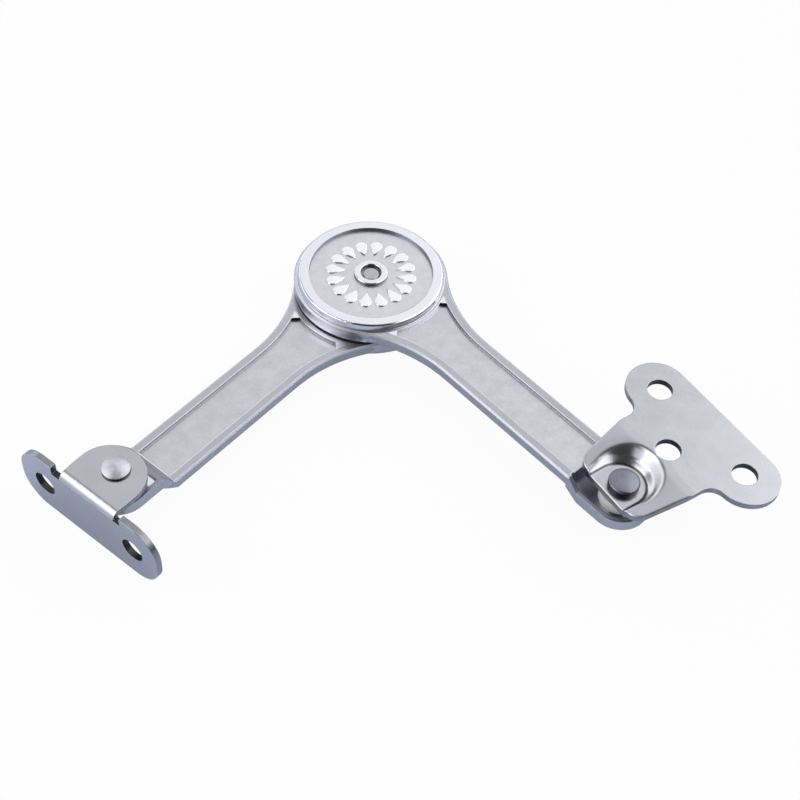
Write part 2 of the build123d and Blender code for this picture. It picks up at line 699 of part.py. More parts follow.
# Lid bracket: ear, bend with relief notches, upright plate with two holes
upright = Plane(
    origin=lid_pivot.origin + lid_pivot.y_dir * FACE_OFFSET,
    x_dir=lid_pivot.x_dir,
    z_dir=-lid_pivot.y_dir,
)
bend_side = Plane(origin=lid_pivot.origin, x_dir=lid_pivot.y_dir, z_dir=lid_pivot.x_dir)
with BuildPart() as lid_bracket:
    with BuildSketch(upright):
        with Locations((0, LID_HOLE_Z)):
            RectangleRounded(2 * LID_HALF, LID_HEIGHT, LID_CORNER)
        with Locations((0, NOTCH_FLOOR)):
            Rectangle(
                2 * NOTCH_OUT, LID_HEIGHT, align=(Align.CENTER, Align.MIN), mode=Mode.SUBTRACT
            )
        with Locations((-LID_HOLE_HALF, LID_HOLE_Z), (LID_HOLE_HALF, LID_HOLE_Z)):
            Circle(SCREW_HOLE_R, mode=Mode.SUBTRACT)
    extrude(amount=SHEET)
    with BuildSketch(bend_side):
        with BuildLine():
            bend_y = FACE_OFFSET - BRACKET_BEND
            bend_z = EAR_TOP - BRACKET_BEND
            inner_bend = BRACKET_BEND - SHEET
            turn = math.sqrt(0.5)
            Line((FACE_OFFSET, bend_z - SHEET), (FACE_OFFSET, bend_z))
            ThreePointArc(
                (FACE_OFFSET, bend_z),
                (bend_y + BRACKET_BEND * turn, bend_z + BRACKET_BEND * turn),
                (bend_y, EAR_TOP),
            )
            Polyline(
                (bend_y, EAR_TOP),
                (EAR_CENTRE, EAR_TOP),
                (EAR_CENTRE, EAR_TOP - SHEET),
                (bend_y, EAR_TOP - SHEET),
            )
            ThreePointArc(
                (bend_y, EAR_TOP - SHEET),
                (bend_y + inner_bend * turn, bend_z + inner_bend * turn),
                (FACE_OFFSET - SHEET, bend_z),
            )
            Polyline(
                (FACE_OFFSET - SHEET, bend_z),
                (FACE_OFFSET - SHEET, bend_z - SHEET),
                (FACE_OFFSET, bend_z - SHEET),
            )
        make_face()
    extrude(amount=NOTCH_IN, both=True)
    with BuildSketch(lid_pivot.offset(EAR_TOP)):
        with Locations((0, EAR_CENTRE)):
            Circle(EAR_HALF)
        with Locations((0, EAR_CENTRE)):
            Rectangle(
                2 * EAR_HALF, EAR_HALF, align=(Align.CENTER, Align.MIN), mode=Mode.SUBTRACT
            )
    extrude(amount=-SHEET)
    with BuildSketch(lid_pivot.offset(EAR_TOP)):
        with BuildLine():
            Polyline(
                (-EAR_HALF, EAR_CENTRE),
                (EAR_HALF, EAR_CENTRE),
                (EAR_HALF, bend_y - NOTCH_LEAD),
                (NOTCH_IN, bend_y - NOTCH_END),
                (-NOTCH_IN, bend_y - NOTCH_END),
                (-EAR_HALF, bend_y - NOTCH_LEAD),
                close=True,
            )
        make_face()
    extrude(amount=-SHEET)
    with BuildSketch(lid_pivot.offset(EAR_TOP)):
        Circle(RIVET_R)
    extrude(amount=-SHEET, mode=Mode.SUBTRACT)
lid_bracket.part.label = "lid_bracket"

# Lid bracket rivet: domed head on the ear, tail under the pad
lid_tail = LOWER_PAD_TOP - PAD_DEPTH - FACE_GAP - TAIL_WASHER
lid_section = Plane(origin=lid_pivot.origin, x_dir=(1, 0, 0), z_dir=(0, -1, 0))
lid_axis = Axis((lid_rivet_xy[0], lid_rivet_xy[1], 0), (0, 0, 1))
dome_rise = DOME_H - DOME_EDGE
dome_ball = (DOME_R**2 + dome_rise**2) / (2 * dome_rise)
dome_centre = EAR_TOP + DOME_H - dome_ball
dome_turn = math.asin(DOME_R / dome_ball) / 2
with BuildPart() as lid_bracket_rivet:
    with BuildSketch(lid_section):
        with BuildLine():
            Line((0, EAR_TOP + DOME_H), (0, lid_tail - TAIL_H))
            Polyline(
                (0, lid_tail - TAIL_H),
                (TAIL_R - TAIL_ROUND, lid_tail - TAIL_H),
                (TAIL_R, lid_tail - TAIL_H + TAIL_ROUND),
                (TAIL_R, lid_tail),
                (RIVET_R, lid_tail),
                (RIVET_R, EAR_TOP),
                (DOME_R, EAR_TOP),
                (DOME_R, EAR_TOP + DOME_EDGE),
            )
            ThreePointArc(
                (DOME_R, EAR_TOP + DOME_EDGE),
                (dome_ball * math.sin(dome_turn), dome_centre + dome_ball * math.cos(dome_turn)),
                (0, EAR_TOP + DOME_H),
            )
        make_face()
    revolve(axis=lid_axis)
lid_bracket_rivet.part.label = "lid_bracket_rivet"

lid_bracket_tail_washer = ring(
    "lid_bracket_tail_washer",
    lid_pivot,
    lid_tail + TAIL_WASHER,
    lid_tail,
    TAIL_WASHER_R,
    RIVET_R,
)
lid_bracket_spacer = ring(
    "lid_bracket_spacer",
    lid_pivot,
    EAR_TOP - SHEET,
    LOWER_PAD_TOP + FACE_GAP,
    SPACER_R,
    RIVET_R,
)

os.makedirs("parts", exist_ok=True)
for piece in (
    side_plate,
    side_plate_rivet,
    side_plate_spacer,
    side_plate_tail_washer,
    upper_arm,
    rosette_disc,
    centre_collar,
    pivot_pin,
    upper_lining,
    stop_pin,
    pressure_plate,
    disc_springs,
    retaining_washer,
    lower_arm,
    friction_disc,
    lower_lining,
    pivot_bush,
    glide_ring,
    bottom_cover,
    lid_bracket,
    lid_bracket_rivet,
    lid_bracket_spacer,
    lid_bracket_tail_washer,
):
    name = piece.part.label
    box = piece.part.bounding_box()
    print(name, len(piece.part.solids()), box.size, round(piece.part.volume, 2))
    export_step(piece.part, f"parts/{name}.step")
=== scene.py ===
# %% [markdown]
# # A lid support with a friction hub
# Two plated arms fold about a round friction hub. One arm ends at a T-shaped side plate for the
# cabinet wall, the other at a bent bracket for the lid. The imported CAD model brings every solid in
# its place, in metres, and this script gives the solids their finish, makes the fine stamped work
# of the rosette, and sets up the camera, the floor and the light.

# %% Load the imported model
import json
import math

import bmesh
import bpy
from mathutils import Matrix, Vector


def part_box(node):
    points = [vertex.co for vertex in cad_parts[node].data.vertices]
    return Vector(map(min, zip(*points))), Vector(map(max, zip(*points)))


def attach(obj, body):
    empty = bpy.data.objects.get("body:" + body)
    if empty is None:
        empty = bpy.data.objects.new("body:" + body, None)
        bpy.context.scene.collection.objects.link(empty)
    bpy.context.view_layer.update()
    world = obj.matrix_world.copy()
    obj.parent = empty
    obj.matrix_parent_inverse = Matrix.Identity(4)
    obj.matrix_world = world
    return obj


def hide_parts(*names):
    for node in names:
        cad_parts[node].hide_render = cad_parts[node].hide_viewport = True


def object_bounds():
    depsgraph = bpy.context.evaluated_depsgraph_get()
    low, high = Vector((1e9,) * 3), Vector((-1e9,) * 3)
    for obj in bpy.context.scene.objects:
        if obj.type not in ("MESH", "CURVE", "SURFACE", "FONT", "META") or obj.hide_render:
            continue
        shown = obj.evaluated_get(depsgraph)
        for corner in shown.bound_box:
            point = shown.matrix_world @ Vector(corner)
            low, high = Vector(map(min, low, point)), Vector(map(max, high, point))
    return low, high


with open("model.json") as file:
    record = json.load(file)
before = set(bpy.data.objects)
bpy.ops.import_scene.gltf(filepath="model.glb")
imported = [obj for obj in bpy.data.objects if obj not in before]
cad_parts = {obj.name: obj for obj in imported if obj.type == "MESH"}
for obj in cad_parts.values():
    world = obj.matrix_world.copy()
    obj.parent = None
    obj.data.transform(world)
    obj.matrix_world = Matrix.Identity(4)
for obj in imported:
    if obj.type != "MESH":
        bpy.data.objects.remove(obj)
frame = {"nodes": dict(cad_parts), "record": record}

bpy.context.scene.view_settings.view_transform = "Standard"
NODES = frame["nodes"]
cad_box = [list(corner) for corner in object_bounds()]
print("CAD nodes:", len(NODES), "box in metres:", cad_box)

# %% [markdown]
# ## Places that the finishes need
# Sizes come from the solids where they can be read there. The hub's centre is the middle of the
# rosette disc, and the arms' ribs and sunk panels are told apart by their height. Millimetres
# are easier to read for a small fitting, so a length is written as a number times MM.

# %% Read the hub and the arm levels
MM = 0.001
rosette_low, rosette_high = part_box("rosette_disc")
hub_centre = (rosette_low + rosette_high) / 2
rosette_radius = (rosette_high.x - rosette_low.x) / 2
collar_low, collar_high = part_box("centre_collar")
collar_radius = (collar_high.x - collar_low.x) / 2
ground_height = collar_low.z
rim_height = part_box("upper_arm")[1].z
lowest = cad_box[0][2]
print("hub centre in mm:", [round(c / MM, 2) for c in hub_centre])
print("rim height in mm:", round(rim_height / MM, 2))

# %% [markdown]
# ## The camera
# The photograph looks down at the fitting by about fifty degrees, from thirty centimetres away and
# with a slightly long lens, so the far screw holes are a little smaller than the near ones. The
# camera's place and turns were found by matching the hub's two circles, the five screw holes and
# the arm edges with their places in the picture. The image is square.

# %% Set the camera
CAMERA_PLACE = Vector((-0.152626, -0.103781, 0.216453))
CAMERA_HEADING = math.radians(-37.723)
CAMERA_DOWN = 0.884
CAMERA_ROLL = 0.076
SENSOR_WIDTH = 36.0
FOCAL_LENGTH = 66.41

camera_data = bpy.data.cameras.new("camera")
camera_data.sensor_fit = "HORIZONTAL"
camera_data.sensor_width = SENSOR_WIDTH
camera_data.lens = FOCAL_LENGTH
camera_data.clip_start = 0.01
camera = bpy.data.objects.new("camera", camera_data)
camera.matrix_world = (
    Matrix.Translation(CAMERA_PLACE)
    @ Matrix.Rotation(CAMERA_HEADING, 4, "Z")
    @ Matrix.Rotation(math.pi / 2 - CAMERA_DOWN, 4, "X")
    @ Matrix.Rotation(CAMERA_ROLL, 4, "Z")
)
bpy.context.scene.collection.objects.link(camera)
bpy.context.scene.camera = camera
print("camera distance to the hub:", round((CAMERA_PLACE - hub_centre).length / MM), "mm")

# %% [markdown]
# ## A short way to write shaders
# A finish is a sum of patterns, so it reads best as a sum. `Signal` wraps one socket, and adding
# or multiplying signals adds the Math nodes. `Sheet` holds one node tree, and its `node` method
# makes any other node: the settings go in first, then the values and links of its sockets. The
# alternative, a line for every node and every link, hides the sum behind its wiring.


# %% Signals and sheets
class Signal:
    """A socket that sums and products can be written with, such as 1 - mask."""

    def __init__(self, sheet, socket):
        self.sheet = sheet
        self.socket = socket

    def maths(self, operation, *values, clamp=False):
        settings = {"operation": operation, "use_clamp": clamp}
        return self.sheet.node("ShaderNodeMath", settings, *values)

    def __add__(self, other):
        return self.maths("ADD", self, other)

    def __radd__(self, other):
        return self.maths("ADD", other, self)

    def __sub__(self, other):
        return self.maths("SUBTRACT", self, other)

    def __rsub__(self, other):
        return self.maths("SUBTRACT", other, self)

    def __mul__(self, other):
        return self.maths("MULTIPLY", self, other)

    def __rmul__(self, other):
        return self.maths("MULTIPLY", other, self)

    def __truediv__(self, other):
        return self.maths("DIVIDE", self, other)

    def ramp(self, low, high):
        """0 below low, 1 above high, and a soft step between them."""
        settings = {"interpolation_type": "SMOOTHSTEP"}
        return self.sheet.node("ShaderNodeMapRange", settings, self, low, high)

    def tint(self, dark, light):
        """The colour between dark and light that this mask picks."""
        settings = {"data_type": "RGBA"}
        colours = {"Factor_Float": self, "A_Color": dark, "B_Color": light}
        return self.sheet.node("ShaderNodeMix", settings, out="Result_Color", **colours)


class Sheet:
    """One node tree, empty at first: a material's, the world's or a Geometry Nodes group."""

    def __init__(self, owner):
        if not isinstance(owner, bpy.types.NodeTree):
            owner.use_nodes = True
            owner = owner.node_tree
        self.tree = owner
        self.tree.nodes.clear()

    def node(self, kind, settings=None, *values, out=0, **named):
        made = self.tree.nodes.new(kind)
        for key, value in (settings or {}).items():
            setattr(made, key, value)
        sockets = [(made.inputs[place], value) for place, value in enumerate(values)]
        for key, value in named.items():
            by_identifier = [s for s in made.inputs if s.identifier == key]
            socket = by_identifier[0] if by_identifier else made.inputs[key.replace("_", " ")]
            sockets.append((socket, value))
        for socket, value in sockets:
            if isinstance(value, Signal):
                self.tree.links.new(value.socket, socket)
            else:
                socket.default_value = value
        if not made.outputs:
            return made
        by_identifier = [s for s in made.outputs if s.identifier == out]
        return Signal(self, by_identifier[0] if by_identifier else made.outputs[out])


print("a Signal wraps one socket, and a Sheet holds one node tree")

# %% [markdown]
# ## Plated metal
# The arms are die cast in zinc and nickel plated, and the plates are zinc-plated steel sheet. Both
# are the same kind of surface in a shader: a pale metal with a faint blue cast, cloudy where the
# plating is thicker, with a fine grain. Stamped and cast edges are a little round, and a pale line
# is painted along them. It is partly wear, since hands and drums rub them first. Where the rub is
# strong and wide, as on the ribs, it is also a painted highlight. The Bevel node gives that round
# edge to the shading without more faces, and where its normal differs from the face's own, there
# is an edge. Cutting every small edge round in the mesh would work too, but it costs faces on edges
# no one can see.


# %% A plated finish
def grey(level, blue=0.04):
    """A metal's grey, with a little more blue than red, as plating has."""
    return (level * (1 - blue), level * (1 - blue * 0.75), level * (1 + blue), 1)


def plated(name, level, roughness, cloud=0.05, cloud_size=4 * MM, grain=0.05,
           grain_size=0.3 * MM, edge_radius=0.16 * MM, stretch=(1, 1, 1), rub=0.15, rub_width=None,
           blue=0.04, press=None):
    """Metal that is cloudy at cloud_size, grainy at grain_size and rubbed bright at its edges.

    The pale edge line is partly wear and, where rub is strong, a painted highlight. It is as wide as
    the round edge, or rub_width wide where that is given.
    press(sheet, place) gives the press tool's swell in metres, a dark line of painted shade and a
    radius.
    """
    material = bpy.data.materials.new(name)
    sheet = Sheet(material)
    place = sheet.node("ShaderNodeTexCoord", out="Object")
    drawn = sheet.node("ShaderNodeMapping", None, Vector=place, Scale=stretch)
    clouds = sheet.node("ShaderNodeTexNoise", None, Vector=place, Scale=1 / cloud_size, Detail=3)
    grains = sheet.node(
        "ShaderNodeTexNoise", None, Vector=drawn, Scale=1 / grain_size, Detail=4, Roughness=0.6
    )
    swell, line, edge_radius = press(sheet, place) if press else (None, None, edge_radius)
    round_edge = sheet.node("ShaderNodeBevel", {"samples": 6}, edge_radius)
    face = sheet.node("ShaderNodeNewGeometry", out="Normal")
    worn = sheet.node("ShaderNodeBevel", {"samples": 8}, rub_width) if rub_width else round_edge
    settings = {"operation": "DOT_PRODUCT"}
    along = sheet.node("ShaderNodeVectorMath", settings, worn, face, out="Value")
    edge = (1 - along).ramp(0.01, 0.12)
    tone = clouds.ramp(0.3, 0.7) * 0.6 + grains.ramp(0.3, 0.7) * 0.4
    skin = tone.tint(grey(level * (1 - cloud), blue), grey(level * (1 + cloud), blue))
    # The press's dark line is painted shade, mixed towards near black.
    if line:
        skin = line.tint(skin, grey(0.04))
    if swell:
        round_edge = sheet.node(
            "ShaderNodeBump", None, Strength=1.0, Distance=1.0, Height=swell, Normal=round_edge
        )
    rough = roughness * (1 + (grains - 0.5) * 0.5 + (clouds - 0.5) * 0.4) - edge * (roughness * 0.35)
    bumps = sheet.node(
        "ShaderNodeBump", None, Strength=grain, Distance=0.02 * MM, Height=grains, Normal=round_edge
    )
    shader = sheet.node(
        "ShaderNodeBsdfPrincipled",
        None,
        Base_Color=(edge * rub).tint(skin, grey(0.95)),
        Metallic=1.0,
        Roughness=rough,
        Normal=bumps,
    )
    sheet.node("ShaderNodeOutputMaterial", None, Surface=shader)
    return material


# %% [markdown]
# ## The metal finishes, one by one
# One colour and one roughness would make the whole fitting look like a single lump. The real one
# went through several processes: the hub's rim and the petals are polished before plating, the
# arms' sides and sunk panels are plated as they leave the mould, and the plates' edges are sheared.
# Each gets its own paleness and roughness. Some are painted shade: a wall close to other walls
# sees little light, so the panels' walls are painted dark and the walls of the holes darker still.

# %% Finishes of the metal pieces
bright_nickel = plated("bright_nickel", 0.88, 0.14, cloud=0.02, grain=0.05)
drum_skin = plated("drum_skin", 0.74, 0.30, cloud=0.05, cloud_size=3 * MM, grain=0.3)
# The ribs' pale edge line is full and wide. It is partly rubbed wear and partly a painted highlight.
rib_skin = plated(
    "rib_skin", 0.52, 0.22, cloud=0.05, cloud_size=3 * MM, grain=0.1, edge_radius=0.12 * MM,
    rub=1.0, rub_width=0.5 * MM
)
# Dark and blue for the steps and rims by the pads: painted shade.
joggle_skin = plated("joggle_skin", 0.36, 0.34, cloud=0.06, cloud_size=2 * MM, grain=0.3, blue=0.08)
cast_side = plated(
    "cast_side", 0.56, 0.24, cloud=0.06, cloud_size=3 * MM, grain=0.2, edge_radius=0.1 * MM
)
chamfer_skin = plated("chamfer_skin", 0.64, 0.5, cloud=0.06, grain=0.2, edge_radius=0.1 * MM)
# Dark for the low walls of the panels and the recess: painted shade.
tray_wall = plated(
    "tray_wall", 0.32, 0.3, cloud=0.06, cloud_size=3 * MM, grain=0.2, edge_radius=0.05 * MM
)
satin_nickel = plated(
    "satin_nickel", 0.64, 0.32, cloud=0.09, cloud_size=2.6 * MM, grain=0.8, grain_size=0.5 * MM
)
plated_sheet = plated(
    "plated_sheet", 0.54, 0.24, cloud=0.04, cloud_size=5 * MM, grain=0.3, stretch=(1, 0.25, 1)
)
# Near black as painted shade: hole walls, the walls under the rivet heads, the bracket's notch floor
# and the corner webs' end walls.
hole_wall = plated("hole_wall", 0.06, 0.4, cloud=0.2, cloud_size=1 * MM, grain=0.5)
cut_edge = plated(
    "cut_edge", 0.34, 0.34, cloud=0.2, cloud_size=2 * MM, grain=0.5, edge_radius=0.2 * MM
)
dome_steel = plated("dome_steel", 0.66, 0.52, cloud=0.12, cloud_size=1.2 * MM, grain=0.6)
rosette_ground = plated(
    "rosette_ground", 0.72, 0.36, cloud=0.07, cloud_size=1.5 * MM, grain=0.8, grain_size=0.22 * MM
)
petal_polish = plated("petal_polish", 0.97, 0.16, cloud=0.01, grain=0.05, edge_radius=0.1 * MM)
pivot_steel = plated("pivot_steel", 0.52, 0.34, cloud=0.08, cloud_size=1 * MM, grain=0.3)
spring_steel = plated("spring_steel", 0.45, 0.35, cloud=0.12, grain=0.2)
sintered_bronze = plated("sintered_bronze", 0.55, 0.45, cloud=0.15, grain=0.6)
print("metal finishes:", len(bpy.data.materials))


# %% [markdown]
# ## The pressed pocket of the side plate
# The rivet head sits in a pressed pocket, which is in the CAD model. The press also drags the
# sheet round the pocket, so the plate dips and swells softly there. The shade in the line at the
# pocket's foot is painted as a dark line. That swell is only tenths of a millimetre high. It could
# be sculpted into the mesh, but a height in the finish is smoother and easier to adjust. It depends
# on the distance to a line from the rivet to the stem's end, which draws a U that is open at that
# end.

# %% Finish of the side plate and its rivet head
rivet_low, rivet_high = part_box("side_plate_rivet")
rivet_centre = (rivet_low + rivet_high) / 2
POCKET_CENTRE = rivet_centre + Vector((-0.5 * MM, 0.3 * MM, 0))
POCKET_RADIUS = 4.8 * MM
FOOT_WIDTH = 1.4 * MM
FOOT_DROP = 0.45 * MM
SHOULDER_FROM, SHOULDER_TO = 1.2 * MM, 5.0 * MM
SHOULDER_RISE = 0.15 * MM
LINE_SHIFT, LINE_CORE, LINE_FADED = 0.05 * MM, 0.1 * MM, 0.28 * MM
FOOT_SHADE_DARKNESS = 0.85
STEM_BEND_FROM, STEM_BEND_TO = -14 * MM, -9 * MM
PLATE_EDGE, STEM_EXTRA = 0.16 * MM, 0.6 * MM
HEAD_CURVE = 45.0


def around_the_rivet(sheet, place):
    """The pocket's surround: its swell, its dark line and the rounder edges of the stem."""
    x, y = (sheet.node("ShaderNodeSeparateXYZ", None, place, out=axis) for axis in ("X", "Y"))
    past = x.maths("MAXIMUM", x - POCKET_CENTRE.x, 0.0)
    aside = y - POCKET_CENTRE.y
    away = past.maths("SQRT", past * past + aside * aside)
    foot = away.ramp(POCKET_RADIUS, POCKET_RADIUS + FOOT_WIDTH) * -FOOT_DROP
    shoulder = away.ramp(POCKET_RADIUS + SHOULDER_FROM, POCKET_RADIUS + SHOULDER_TO)
    # Painted shade: a dark line along the pocket's foot.
    off_the_line = away.maths("ABSOLUTE", away - POCKET_RADIUS - LINE_SHIFT)
    line = (1 - off_the_line.ramp(LINE_CORE, LINE_FADED)) * FOOT_SHADE_DARKNESS
    radius = PLATE_EDGE + (1 - x.ramp(STEM_BEND_FROM, STEM_BEND_TO)) * STEM_EXTRA
    return foot + shoulder * SHOULDER_RISE, line, radius


def low_dome(sheet, place):
    """A rivet head that falls away a little towards its rim."""
    x, y = (sheet.node("ShaderNodeSeparateXYZ", None, place, out=axis) for axis in ("X", "Y"))
    aside = x - rivet_centre.x
    along = y - rivet_centre.y
    return (aside * aside + along * along) * -HEAD_CURVE, None, 0.3 * MM


side_sheet = plated(
    "side_sheet", 0.59, 0.24, cloud=0.04, cloud_size=5 * MM, grain=0.3, stretch=(1, 0.25, 1),
    press=around_the_rivet
)
head_steel = plated(
    "head_steel", 0.27, 0.30, cloud=0.12, cloud_size=2 * MM, grain=0.3, blue=0.1, press=low_dome
)
# The collar's wall is painted dark as shade under its polished top.
collar_wall = plated("collar_wall", 0.27, 0.32, cloud=0.12, cloud_size=2 * MM, grain=0.3)
print("the pocket's centre in mm:", [round(c / MM, 2) for c in POCKET_CENTRE])

# %% [markdown]
# ## Solid pieces
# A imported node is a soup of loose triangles, so it is copied, its triangles are joined, and the
# edges are kept crisp where two faces meet at a real angle. The Weighted Normal modifier keeps
# large faces flat next to a fillet. The copy then stands for the node and rides on its body. The
# pieces could also be modelled again by hand, but the CAD shapes are exact, so only their shading
# and their finishes are made here.


# %% Copy a solid and give it its finish
def finished(node, body, slot, *materials, rule=None, crease=math.radians(24)):
    """A smooth copy of a CAD node. rule(face) gives the number of the face's material."""
    mesh = NODES[node].data.copy()
    mesh.name = node
    for attribute in [a for a in mesh.attributes if a.name == "custom_normal"]:
        mesh.attributes.remove(attribute)
    work = bmesh.new()
    work.from_mesh(mesh)
    bmesh.ops.remove_doubles(work, verts=work.verts, dist=0.002 * MM)
    bmesh.ops.dissolve_degenerate(work, edges=work.edges, dist=0.004 * MM)
    bmesh.ops.dissolve_limit(
        work, angle_limit=math.radians(0.3), verts=work.verts, edges=work.edges, delimit={"NORMAL"}
    )
    for face in work.faces:
        face.smooth = True
        face.material_index = rule(face) if rule else 0
    for edge in work.edges:
        edge.smooth = edge.calc_face_angle(0) < crease
    mesh.materials.clear()
    for material in materials:
        mesh.materials.append(material)
    work.to_mesh(mesh)
    work.free()
    piece = bpy.data.objects.new("finished_" + node, mesh)
    bpy.context.scene.collection.objects.link(piece)
    flat = piece.modifiers.new("flat faces stay flat", "WEIGHTED_NORMAL")
    flat.keep_sharp = True
    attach(piece, body)
    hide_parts(node)
    return piece


# %% [markdown]
# ## The arms
# Each arm is one casting with several skins. The hub's rim is polished before plating, and its
# wall is duller. The sunk panel keeps its satin cast skin, and the low walls round it and round the
# rosette's recess lie in shade, which is painted on them as a dark colour. The ribs are dull on
# top, and a pale line is painted along their edges, partly rubbed wear and partly a painted
# highlight, with a matt chamfer outside. The drafted sides are plated as they leave the mould.
# Where an arm steps to the level of its pad, the step and the pad's rim are painted dark as shade,
# and the pad's tray is bright. Painting each face by hand would be slow, so a rule tells the faces
# apart by where they lie and where they look: a panel face looks straight up from a little below
# the rib tops, and a side face looks level.

# %% Finish the arms
PANEL_DEPTH = 0.7 * MM
CHAMFER = 0.35 * MM
DRUM_RADIUS = 16.2 * MM
RECESS_RADIUS = 13.5 * MM
JOGGLE_FROM = 62 * MM
RIM_ABOVE_RIBS = 1.3 * MM
ARM_STEP = 3.2 * MM
TRAY_RISE = 2.8 * MM
HAIR = 0.05 * MM
upper_rib_top = rim_height - RIM_ABOVE_RIBS
lower_rib_top = upper_rib_top - ARM_STEP
lower_tray = lower_rib_top + TRAY_RISE


def cast_skin(rib_top):
    """Rule for an arm: the number of a face's skin in the tuple below."""

    def rule(face):
        spot = face.calc_center_median()
        if face.normal.z > 0.99 and abs(spot.z - rib_top + PANEL_DEPTH) < HAIR:
            return 1
        level = abs(face.normal.z) < 0.35
        reach = (spot - hub_centre).xy.length
        # Past the joggle: level sides, the bright tray, and the slopes and pad rims in painted
        # shade.
        if reach > JOGGLE_FROM:
            in_tray = face.normal.z > 0.97 and abs(spot.z - lower_tray) < HAIR
            return 2 if level else 0 if in_tray else 5
        # The recess wall gets the dark painted shade, and the drum's wall its duller skin.
        if level and reach < DRUM_RADIUS:
            return 4 if reach > RECESS_RADIUS else 6
        if spot.z > rib_top + 2 * HAIR:
            return 0
        # The panels' low walls get the dark painted shade.
        if level and spot.z > rib_top - PANEL_DEPTH:
            return 6
        if 0.5 < face.normal.z < 0.9 and spot.z > rib_top - CHAMFER:
            return 7
        return 2 if level else 3

    return rule


skins = (
    bright_nickel, satin_nickel, cast_side, rib_skin, drum_skin, joggle_skin, tray_wall, chamfer_skin
)
upper = finished("upper_arm", "upper_arm", "plated_zinc", *skins, rule=cast_skin(upper_rib_top))
lower = finished("lower_arm", "lower_arm", "plated_zinc", *skins, rule=cast_skin(lower_rib_top))
for arm in (upper, lower):
    numbers = [face.material_index for face in arm.data.polygons]
    print(arm.name, "faces of each skin:", [numbers.count(skin) for skin in range(len(skins))])

# %% [markdown]
# ## The corners by the hub
# Where a sunk panel runs out between the hub and a rib, its sharp corner is filled, because the
# block of the mould that shapes the panel can't end in so thin a tip. The web's top is polished
# with the hub, and it ends in a short wall that lies in shadow, which the photograph shows as a
# short black line. That shadow is painted on the wall as a near-black colour. The corners are found
# on the panel's own outline, so the webs fit wherever it ends.

# %% Fill the sharp corners of the panels
CORNER_FILL = 2.0 * MM
SHARPEST = math.radians(75)
NEAR_THE_HUB = 25 * MM
WEB_OVERLAP = 1.08


def along_outline(points, start, step, length):
    """The point at this length along a closed outline, from point start and in steps of +1 or -1."""
    here = start
    while length > 0:
        there = (here + step) % len(points)
        side = points[there] - points[here]
        if side.length >= length:
            return points[here] + side.normalized() * length
        length -= side.length
        here = there
    return points[here]


def filled_corners(arm, body, rib_top):
    """Webs at rib height in the sharp corners of the arm's panel."""
    shape = bmesh.new()
    shape.from_mesh(arm.data)
    panels = [face for face in shape.faces if face.material_index == 1]
    panel = max(panels, key=lambda face: face.calc_area())
    outline = [vertex.co.copy() for vertex in panel.verts]
    shape.free()
    webs = bmesh.new()
    for place, corner in enumerate(outline):
        before, after = outline[place - 1], outline[(place + 1) % len(outline)]
        sharp = (before - corner).angle(after - corner) < SHARPEST
        if not sharp or (corner - hub_centre).xy.length > NEAR_THE_HUB:
            continue
        tips = [corner] + [along_outline(outline, place, step, CORNER_FILL) for step in (1, -1)]
        middle = (tips[0] + tips[1] + tips[2]) / 3
        tips = [middle + (tip - middle) * WEB_OVERLAP for tip in tips]
        low = [webs.verts.new((tip.x, tip.y, rib_top - PANEL_DEPTH - HAIR)) for tip in tips]
        high = [webs.verts.new((tip.x, tip.y, rib_top - 0.02 * MM)) for tip in tips]
        webs.faces.new(high)
        webs.faces.new(list(reversed(low)))
        for here, there in ((0, 1), (1, 2), (2, 0)):
            wall = webs.faces.new((low[here], low[there], high[there], high[here]))
            wall.material_index = 1
    bmesh.ops.recalc_face_normals(webs, faces=webs.faces)
    mesh = bpy.data.meshes.new("corner_webs_" + body)
    webs.to_mesh(mesh)
    webs.free()
    mesh.materials.append(bright_nickel)
    # The end walls get the near-black painted shade.
    mesh.materials.append(hole_wall)
    piece = bpy.data.objects.new(mesh.name, mesh)
    bpy.context.scene.collection.objects.link(piece)
    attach(piece, body)
    print(piece.name, "filled corners:", len(mesh.polygons) // 5)


filled_corners(upper, "upper_arm", upper_rib_top)
filled_corners(lower, "lower_arm", lower_rib_top)

# %% [markdown]
# ## Cut edges and screw holes
# The side plate and the lid bracket are stamped from plated sheet, so their faces are smooth, but a
# cut edge shows where the punch sheared it: darker and duller than the face. The walls of the screw
# holes are painted near black as shade, since little light gets in. The record names the screw
# holes as mounts, so their axes are read there, and rules tell such faces by where they look and
# lie. Rules hold when the model is packed again and its faces get other numbers, which a list of
# faces would not.

# %% Rules for cut edges
HOLE_REACH = 2.7 * MM
mounts = {mount["name"]: mount for mount in frame["record"]["mounts"]}


def in_a_hole(face, holes, axis):
    """True for a wall of a screw hole: it looks across the hole's axis from close by."""
    if abs(face.normal.dot(axis)) > 0.3:
        return False
    from_holes = [face.calc_center_median() - hole for hole in holes]
    return any((reach - axis * reach.dot(axis)).length < HOLE_REACH for reach in from_holes)


upward = Vector((0, 0, 1))
outer_step = mounts["side_plate_screws"]["dims"]["spacing_y_mm"] / 2 * MM
plate_holes = [Vector((0, side * outer_step, 0)) for side in (-1, 1)]
plate_holes.append(Vector(mounts["side_plate_middle_screw"]["pos_m"]))
leg_out = Vector(mounts["lid_bracket_screws"]["axis"])
bend_line = upward.cross(leg_out)
leg_middle = Vector(mounts["lid_bracket_screws"]["pos_m"])
lid_step = mounts["lid_bracket_screws"]["dims"]["pcd_mm"] / 2 * MM
leg_holes = [leg_middle + bend_line * side * lid_step for side in (-1, 1)]
EAR_HALF = 7.1 * MM
EAR_LOWEST = -3.4 * MM
NOTCH_FLOOR = -2.2 * MM


def sheared_plate(face):
    """Rule for the side plate: 0 face, 1 cut edge, 2 hole wall."""
    if in_a_hole(face, plate_holes, upward):
        return 2
    return 1 if abs(face.normal.z) < 0.35 else 0


